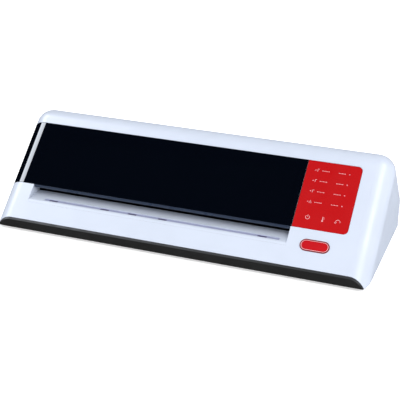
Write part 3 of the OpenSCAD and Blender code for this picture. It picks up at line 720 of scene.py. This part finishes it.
def build_strip(paints, x0, x1, y0, floor):
    """The shaded strip on the floor of the groove, and dark boxes over its slots that paint the shade inside them.
    """
    edge = 0.4 * MM
    bm = bmesh.new()
    lo = (x0 + edge, y0 + edge, floor - 0.05 * MM)
    box_into(bm, lo, (x1 - edge, y0 + GROOVE_W - edge, floor + 0.15 * MM))
    add_object("groove_strip", bm, paints["groove_shade"], smooth=False)
    # Dark boxes over the slots: painted shade standing in for the shade inside them.
    bm = bmesh.new()
    for f in SLOT_PLACES:
        x = x0 + f * POUCH_W
        lo = (x - SLOT_L / 2, y0 + SLOT_IN - 0.9 * MM, floor - SLOT_D + GROOVE_D)
        box_into(bm, lo, (x + SLOT_L / 2, y0 + SLOT_IN + SLOT_W + 0.9 * MM, floor + 0.25 * MM))
    add_object("slot_shade_boxes", bm, paints["slot_shade"], smooth=False)


# ---------- badge and printed marks ----------
BADGE_LO, BADGE_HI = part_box("badge")
BADGE_X = (BADGE_LO.x + BADGE_HI.x) / 2
BADGE_S = -21.8 * MM
BADGE_W = BADGE_HI.x - BADGE_LO.x
BADGE_H = 16 * MM


def pill(w, h):
    """Outline of the badge's shape as (x, s) points."""
    return [(BADGE_X + x, BADGE_S + y) for x, y in round_rect(w, h, h / 2 * 0.999, 16)]


def build_badge(paints):
    """A plain pill badge: dark rim, thin pale line, red domed centre."""
    layers = (
        ("badge_body", "badge_rim", ((0.0, -0.4), (0.0, 0.45), (0.5, 0.6)), ("badge",)),
        ("badge_line", "badge_line", ((1.5, 0.3), (1.5, 0.66), (1.7, 0.68)), ()),
        ("badge_dome", "badge_red", ((2.1, 0.4), (2.1, 0.7), (3.2, 0.76), (5.0, 0.79)), ()),
    )
    for name, paint, steps, replaces in layers:
        bm = bmesh.new()
        loops = []
        for inset, out in steps:
            loop = pill(BADGE_W - 2 * inset * MM, BADGE_H - 2 * inset * MM)
            loops.append([on_front(x, s, out * MM) for x, s in loop])
        loops_into(bm, loops, cap_first=True, cap_last=True)
        bmesh.ops.recalc_face_normals(bm, faces=bm.faces)
        add_object(name, bm, paints[paint], replaces)


INK_T = 0.06 * MM
STROKE = 0.6 * MM


def stroke_into(bm, points, width=STROKE):
    """A flat printed line through (x, s) points, raised by the ink's thickness."""
    left, right = [], []
    for k, p in enumerate(points):
        a = points[max(k - 1, 0)]
        b = points[min(k + 1, len(points) - 1)]
        d = Vector((b[0] - a[0], b[1] - a[1])).normalized() * width / 2
        left.append((p[0] - d.y, p[1] + d.x))
        right.append((p[0] + d.y, p[1] - d.x))
    for k in range(len(points) - 1):
        quad = [left[k], left[k + 1], right[k + 1], right[k]]
        plate_quad(bm, quad)


def plate_quad(bm, quad):
    """One thin printed patch on the overlay."""
    low = [bm.verts.new(on_front(x, s, -INK_T)) for x, s in quad]
    high = [bm.verts.new(on_front(x, s, INK_T)) for x, s in quad]
    bm.faces.new(high)
    bm.faces.new(list(reversed(low)))
    for k in range(4):
        n = (k + 1) % 4
        bm.faces.new((low[k], low[n], high[n], high[k]))


def arc_points(cx, cs, r, start, end, steps=14):
    points = []
    for k in range(steps + 1):
        a = math.radians(start + (end - start) * k / steps)
        points.append((cx + r * math.cos(a), cs + r * math.sin(a)))
    return points


def power_icon(bm, x, s):
    """A broken ring with a stroke in its gap."""
    stroke_into(bm, arc_points(x, s, 2.6 * MM, 125, 415, 18))
    stroke_into(bm, [(x, s + 0.6 * MM), (x, s + 3.4 * MM)])


def heat_icon(bm, x, s):
    """A thermometer: a stem on a bulb, with two ticks."""
    stroke_into(bm, [(x, s - 1.4 * MM), (x, s + 3.4 * MM)], 0.8 * MM)
    stroke_into(bm, arc_points(x, s - 2.2 * MM, 0.6 * MM, 0, 360, 14), 1.0 * MM)
    for k in (0.4, 2.2):
        stroke_into(bm, [(x + 1.1 * MM, s + k * MM), (x + 2.2 * MM, s + k * MM)], 0.5 * MM)


def reverse_icon(bm, x, s):
    """A half ring that ends in an arrow head."""
    stroke_into(bm, arc_points(x, s - 0.6 * MM, 2.9 * MM, -10, 190, 16))
    tip = (x - 2.9 * MM, s - 2.6 * MM)
    stroke_into(bm, [(tip[0] - 1.5 * MM, s - 0.9 * MM), tip])
    stroke_into(bm, [tip, (tip[0] + 1.5 * MM, s - 0.9 * MM)])


def bars_into(bm, x0, x1, s, height, gaps):
    """A short run of printed bars, standing in for a label."""
    step = (x1 - x0) / gaps
    for k in range(gaps):
        a = x0 + k * step
        b = a + step * 0.68
        h = height * (1.0 if k % 2 == 0 else 0.72)
        plate_quad(bm, [(a, s - h / 2), (b, s - h / 2), (b, s + h / 2), (a, s + h / 2)])


KEY_S = 15.5 * MM
KEY_X = [OVERLAY_LO.x + k * MM for k in (16.8, 36.1, 55.7)]
ROW_S = [37 * MM + 15 * MM * k for k in range(4)]
LEFT_MARK_X = OVERLAY_LO.x + 15.2 * MM
LEFT_BARS = (OVERLAY_LO.x + 20.5 * MM, OVERLAY_LO.x + 30.5 * MM)
RIGHT_BARS = (OVERLAY_LO.x + 42.0 * MM, OVERLAY_LO.x + 51.5 * MM)
RIGHT_LIGHT_X = OVERLAY_LO.x + 56.0 * MM


def build_prints(paints):
    """The overlay's key icons, row marks and label bars."""
    bm = bmesh.new()
    power_icon(bm, KEY_X[0], KEY_S)
    heat_icon(bm, KEY_X[1], KEY_S)
    reverse_icon(bm, KEY_X[2], KEY_S)
    for k, s in enumerate(ROW_S):
        x = LEFT_MARK_X
        if k == 0:
            peak = [(x - 1.2 * MM, s - 2 * MM), (x, s + 2 * MM), (x + 1.4 * MM, s - 2 * MM)]
            stroke_into(bm, peak, 0.7 * MM)
        else:
            stroke_into(bm, [(x - 0.6 * MM, s - 1.8 * MM), (x - 0.6 * MM, s + 1.8 * MM)], 0.55 * MM)
            stroke_into(bm, [(x - 0.6 * MM, s + 1.8 * MM), (x + 1.3 * MM, s + 1.8 * MM)], 0.55 * MM)
        bars_into(bm, LEFT_BARS[0], LEFT_BARS[1], s, 0.9 * MM, 5)
        bars_into(bm, RIGHT_BARS[0], RIGHT_BARS[1], s, 0.9 * MM, 5)
    add_object("overlay_prints", bm, paints["print_ink"], smooth=False)


LIGHT_SIDES = 16
LIGHT_STEPS = ((0.85, -2.9), (0.85, 0.02), (0.75, 0.12), (0.4, 0.2))


def build_lights(paints):
    """Small domed light pipes, one beside each label."""
    bm = bmesh.new()
    for x in (LEFT_MARK_X - 3.2 * MM, RIGHT_LIGHT_X):
        for s in ROW_S:
            loops = []
            for r, out in LIGHT_STEPS:
                loop = []
                for k in range(LIGHT_SIDES):
                    a = math.pi * k / (LIGHT_SIDES / 2)
                    loop.append((x + r * MM * math.cos(a), s + r * MM * math.sin(a)))
                loops.append([on_front(a, b, out * MM) for a, b in loop])
            loops_into(bm, loops, cap_first=True, cap_last=True)
    bmesh.ops.recalc_face_normals(bm, faces=bm.faces)
    add_object("light_pipes", bm, paints["light_lens"], ("status_lights",))


# ---------- base and feet ----------
TRAY_GAP = WALL + 0.5 * MM
FLOOR_T = 2.5 * MM
RIM_Z = face_z(EDGE_R, FRONT_Y)
CORNER_STEPS = 12
AIR_N = 25
AIR_PITCH = 12 * MM
AIR_W = 5 * MM
AIR_L = 28 * MM


def tray_outline(gap, z, front):
    """The tray's plan at height z, gap inside the casing's form and behind a front line."""
    r = EDGE_R - gap
    points = []
    for k in range(CORNER_STEPS + 1):
        a = math.radians(90 * k / CORNER_STEPS)
        points.append((FRONT_CX + r * math.cos(a), REAR_Y + r * math.sin(a)))
    rear = points + [(-x, y) for x, y in reversed(points)]
    points = []
    for k in range(CORNER_STEPS + 1):
        a = math.radians(90 * k / CORNER_STEPS)
        points.append((-FRONT_CX - r * math.cos(a), max(front, face_y(r * math.sin(a), z))))
    return rear + points + [(-x, y) for x, y in reversed(points)]


def build_base(paints):
    bm = bmesh.new()
    floor, top = BASE_LO.z, RIM_Z
    edge = 0.5 * MM
    steps = (
        (TRAY_GAP + edge, floor, FRONT_Y + MM), (TRAY_GAP, floor + edge, FRONT_Y + MM),
        (TRAY_GAP, top, FRONT_Y + MM), (TRAY_GAP + WALL, top, COVER_FRONT),
        (TRAY_GAP + WALL, floor + FLOOR_T, COVER_FRONT),
    )
    loops = [[Vector((x, y, z)) for x, y in tray_outline(gap, z, front)] for gap, z, front in steps]
    loops_into(bm, loops, cap_first=True, cap_last=True)
    bmesh.ops.recalc_face_normals(bm, faces=bm.faces)
    tray = add_object("base_tray", bm, paints["base_dark"], ("base_pan",))
    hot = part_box("hot_lower_sleeve")
    x0 = (hot[0].x + hot[1].x) / 2 - AIR_W / 2 - AIR_PITCH * (AIR_N - 1) / 2
    y0 = (hot[0].y + hot[1].y) / 2 - AIR_L / 2
    slots = []
    for k in range(AIR_N):
        lo = (x0 + AIR_PITCH * k, y0, floor - MM)
        slots.append((lo, (lo[0] + AIR_W, y0 + AIR_L, floor + FLOOR_T + MM)))
    cut(tray, slots)
    soften(tray, 0.3 * MM)


def chin_column(x, angle):
    """One section of the chin plate: front face, flush sloping top, back."""
    r = EDGE_R * math.cos(math.radians(angle))
    side = x + EDGE_R * math.sin(math.radians(angle))
    floor, back = BASE_LO.z, FRONT_Y + CHIN_T
    front = max(FRONT_Y, face_y(r, floor))
    corners = ((front, floor), (front, face_z(r, front)), (back, face_z(r, back)), (back, floor))
    return [Vector((side, y, max(z, floor))) for y, z in corners]


def build_chin(paints):
    """The base's dark front plate; its top edge follows the casing's rounded ends."""
    shortest = EDGE_R - (face_z(EDGE_R, FRONT_Y + CHIN_T) - BASE_LO.z - 0.05 * MM) * math.cos(SLOPE)
    last = math.degrees(math.acos(shortest / EDGE_R))
    turns = [last * k / 14 for k in range(14, 0, -1)]
    columns = [(-FRONT_CX, -a) for a in turns] + [(-FRONT_CX, 0), (FRONT_CX, 0)]
    columns += [(FRONT_CX, a) for a in reversed(turns)]
    bm = bmesh.new()
    loops_into(bm, [chin_column(x, a) for x, a in columns], cap_first=True, cap_last=True)
    tidy_mesh(bm)
    chin = add_object("base_chin", bm, paints["base_dark"], ("base_pan",))
    soften(chin, 0.2 * MM, 2, 45)


def lathe_into(bm, centre, profile, steps=32):
    """Revolves (radius, z) points round a vertical axis."""
    loops = []
    for r, z in profile:
        loops.append([Vector((centre[0] + r * math.cos(2 * math.pi * k / steps),
                              centre[1] + r * math.sin(2 * math.pi * k / steps), z)) for k in range(steps)])
    loops_into(bm, loops, cap_first=True, cap_last=True)


def build_feet(paints):
    lo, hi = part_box("rubber_feet")
    bm = bmesh.new()
    r = 9 * MM
    profile = [(5.0, 0.5), (5.6, 0.0), (7.0, 0.0), (7.6, 0.35), (8.6, 2.4), (9.0, 3.95)]
    for x in (lo.x + r, hi.x - r):
        for y in (lo.y + r, hi.y - r):
            lathe_into(bm, (x, y), [(a * MM, b * MM) for a, b in profile])
    bmesh.ops.recalc_face_normals(bm, faces=bm.faces)
    add_object("foot_pads", bm, paints["foot_rubber"], ("rubber_feet",))


# ---------- rear fittings ----------
def rect_loop(lo, hi, y, inset, r):
    """A rounded rectangle in the rear plane at y, inset from the given corners."""
    w, h = hi.x - lo.x - 2 * inset, hi.z - lo.z - 2 * inset
    cx, cz = (lo.x + hi.x) / 2, (lo.z + hi.z) / 2
    return [Vector((cx + a, y, cz + b)) for a, b in round_rect(w, h, max(r - inset, 0.2 * MM), 4)]


def build_frame_loops(name, lo, hi, steps, paint, replaces, r, open_back):
    """A frame or a socket: loops from its back outer edge over its face to the inside."""
    bm = bmesh.new()
    loops = [rect_loop(lo, hi, y, inset * MM, r) for y, inset in steps]
    if open_back:
        loops_into(bm, loops, closed=True)
    else:
        loops_into(bm, loops, cap_first=True, cap_last=True)
    bmesh.ops.recalc_face_normals(bm, faces=bm.faces)
    piece = add_object(name, bm, paint, replaces)
    return soften(piece, 0.25 * MM, 2, 40)


def build_rear(paints):
    y1 = EXIT_HI.y
    back = EXIT_LO.y
    exit_steps = ((back, 0), (y1, 0), (y1, 1.4), (y1 - 4 * MM, 4.4), (back, 4.4))
    black = paints["guide_black"]
    build_frame_loops("exit_bezel", EXIT_LO, EXIT_HI, exit_steps, paints["base_dark"],
                      ("exit_frame",), 1.2 * MM, True)
    y1 = INLET_HI.y
    inlet_steps = ((INLET_LO.y, 0), (y1, 0), (y1, 1.8), (y1 - 14 * MM, 2.2))
    build_frame_loops("inlet_socket", INLET_LO, INLET_HI, inlet_steps, paints["socket_black"],
                      ("power_inlet",), 3 * MM, False)
    bm = bmesh.new()
    cx, cz = (INLET_LO.x + INLET_HI.x) / 2, (INLET_LO.z + INLET_HI.z) / 2
    for dx, dz in ((-7, -2.5), (0, 2.5), (7, -2.5)):
        lo = (cx + (dx - 1) * MM, y1 - 15 * MM, cz + (dz - 2) * MM)
        hi = (cx + (dx + 1) * MM, y1 - 2 * MM, cz + (dz + 2) * MM)
        box_into(bm, lo, hi)
    blades = add_object("inlet_blades", bm, paints["blade_metal"])
    soften(blades, 0.4 * MM, 3)
    y1 = SWITCH_HI.y
    switch_steps = ((SWITCH_LO.y, 0), (y1, 0), (y1, 1.2), (y1 - 9 * MM, 1.4))
    build_frame_loops("switch_bezel", SWITCH_LO, SWITCH_HI, switch_steps, black,
                      ("rocker_housing",), 1.2 * MM, False)


def build_rocker(paints):
    """The rocker paddle, turned a little about its pin."""
    lo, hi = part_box("power_rocker")
    joint = next(j for j in frame["joints"] if j["name"] == "power_switch")
    pin = Vector(joint["pos_m"])
    tilt = Matrix.Rotation(math.radians(-9), 3, "Z")
    w = (SWITCH_HI.x - SWITCH_LO.x) / 2 - 2 * MM
    h = (SWITCH_HI.z - SWITCH_LO.z) - 4 * MM
    outline = [(-w, 2.2 * MM), (-w / 2, 2.35 * MM), (0, 3.1 * MM), (w / 2, 2.35 * MM), (w, 2.2 * MM)]
    outline += [(w - MM, -MM), (2 * MM, -2.5 * MM), (-2 * MM, -2.5 * MM), (-w + MM, -MM)]
    bm = bmesh.new()
    loops = []
    for z in (-h / 2, h / 2):
        loops.append([pin + tilt @ Vector((x, y, z)) for x, y in outline])
    loops_into(bm, loops, cap_first=True, cap_last=True)
    bmesh.ops.recalc_face_normals(bm, faces=bm.faces)
    paddle = add_object("rocker_paddle", bm, paints["rocker_red"], ("power_rocker",), "rocker")
    soften(paddle, 0.45 * MM, 3, 40)


# ---------- pressure springs ----------
SPRING_R = 3.2 * MM
WIRE_R = 0.6 * MM
SPRING_TURNS = 5
TURN_STEPS = 24
WIRE_SIDES = 8


def coil_loops(x, y, z0, z1):
    """Wire sections of one upright spring between two heights."""
    loops = []
    steps = SPRING_TURNS * TURN_STEPS
    for i in range(steps + 1):
        a = 2 * math.pi * i / TURN_STEPS
        z = z0 + (z1 - z0) * i / steps
        loop = []
        for k in range(WIRE_SIDES):
            b = 2 * math.pi * k / WIRE_SIDES
            q = SPRING_R + WIRE_R * math.cos(b)
            loop.append(Vector((x + q * math.cos(a), y + q * math.sin(a), z + WIRE_R * math.sin(b))))
        loops.append(loop)
    return loops


def build_springs(paints):
    """The springs on the sprung bushes, each coil with a mesh of its own."""
    for node, joint_name in (("hot_springs", "hot_nip_lift"), ("pull_springs", "pull_nip_lift")):
        lo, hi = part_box(node)
        reach = SPRING_R + WIRE_R
        bm = bmesh.new()
        for x in (lo.x + reach, hi.x - reach):
            loops = coil_loops(x, (lo.y + hi.y) / 2, lo.z + WIRE_R, hi.z - WIRE_R)
            loops_into(bm, loops, cap_first=True, cap_last=True)
        bmesh.ops.recalc_face_normals(bm, faces=bm.faces)
        coil = add_object(node + "_wire", bm, paints["spring_steel"], (node,))
        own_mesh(coil)


# ---------- stage, lights and camera ----------
LENS = 93.7
CAMERA_AT = Vector((0.4576, -1.1959, 0.6289))
CAMERA_RIGHT = Vector((0.9343, 0.3564, 0.0))
CAMERA_UP = Vector((-0.1498, 0.3926, 0.9074))
SENSOR_W = 36.0
CARD_FAR = 1.5
CARD_COLOUR = (0.86, 0.91, 1.0)
FLOOR_HALF = 6.0


def build_camera():
    """The camera at the fitted place, and as the scene's own."""
    data = bpy.data.cameras.new("Camera")
    data.lens = LENS
    data.sensor_width = SENSOR_W
    camera = bpy.data.objects.new("Camera", data)
    right = CAMERA_RIGHT.normalized()
    up = (CAMERA_UP - right * CAMERA_UP.dot(right)).normalized()
    back = right.cross(up)
    turn = Matrix((right, up, back)).transposed().to_4x4()
    camera.matrix_world = Matrix.Translation(CAMERA_AT) @ turn
    bpy.context.scene.collection.objects.link(camera)
    bpy.context.scene.camera = camera


def area_light(name, at, aim, size, power, colour=(1, 1, 1), up=(0, 0, 1)):
    """A soft rectangle of light that faces aim, with its height along up."""
    data = bpy.data.lights.new(name, "AREA")
    data.shape = "RECTANGLE"
    data.size, data.size_y = size
    data.energy = power
    data.color = colour
    light = bpy.data.objects.new(name, data)
    back = (Vector(at) - Vector(aim)).normalized()
    high = (Vector(up) - back * back.dot(Vector(up))).normalized()
    turn = Matrix((high.cross(back), high, back)).transposed().to_4x4()
    light.matrix_world = Matrix.Translation(at) @ turn
    bpy.context.scene.collection.objects.link(light)
    return light


def card(name, aim, direction, size, power, up):
    """A light that only shows in reflections."""
    at = Vector(aim) + Vector(direction).normalized() * CARD_FAR
    light = area_light(name, at, aim, size, power, CARD_COLOUR, up)
    light.visible_diffuse = False


def build_floor():
    """A plain pale floor that shows almost no shadow."""
    bm = bmesh.new()
    h = FLOOR_HALF
    corners = ((-h, -h), (h, -h), (h, h), (-h, h))
    bm.faces.new([bm.verts.new((x, y, 0.0)) for x, y in corners])
    mesh = bpy.data.meshes.new("floor")
    bm.to_mesh(mesh)
    bm.free()
    floor = bpy.data.objects.new("floor", mesh)
    bpy.context.scene.collection.objects.link(floor)
    paint = Paint("floor_pale", (0.86, 0.86, 0.86), 0.9, specular=0.0)
    paint.shader.inputs["Emission Color"].default_value = (1, 1, 1, 1)
    paint.shader.inputs["Emission Strength"].default_value = 0.5
    mesh.materials.append(paint.finish(3.0, 0.004, 40, 0.0001 * MM))
    floor.visible_glossy = False


def build_world():
    """An even pale surround that stays out of reflections."""
    world = bpy.data.worlds.new("World")
    world.use_nodes = True
    bpy.context.scene.world = world
    background = world.node_tree.nodes["Background"]
    background.inputs["Color"].default_value = (0.97, 0.985, 1.0, 1.0)
    background.inputs["Strength"].default_value = 1.12
    world.cycles_visibility.glossy = False


def build_studio():
    """Surround, floor, one soft key light and two reflection cards."""
    build_world()
    build_floor()
    key = area_light("key", (1.3, -1.2, 1.5), (0, 0, 0.05), (1.4, 1.2), 14.0, (1.0, 0.98, 1.0))
    key.visible_glossy = False
    card("card_left", (-HALF_W, 0, 0.06), (-0.68, -0.10, 0.72), (1.2, 0.84), 52.0, (-0.67, 0.48, -0.57))
    card("card_right", (HALF_W, 0, 0.06), (0.62, -0.16, 0.77), (1.2, 0.50), 30.0, (0.72, 0.38, -0.45))
    bpy.context.scene.view_settings.view_transform = "Standard"


build_camera()
PAINTS = make_materials()
dress_cad_nodes(PAINTS)
build_cover(PAINTS)
build_backing(PAINTS)
build_fascia(PAINTS)
build_overlay(PAINTS)
build_visor(PAINTS)
build_table(PAINTS)
build_badge(PAINTS)
build_prints(PAINTS)
build_lights(PAINTS)
build_base(PAINTS)
build_chin(PAINTS)
build_feet(PAINTS)
build_rear(PAINTS)
build_rocker(PAINTS)
build_springs(PAINTS)
build_studio()
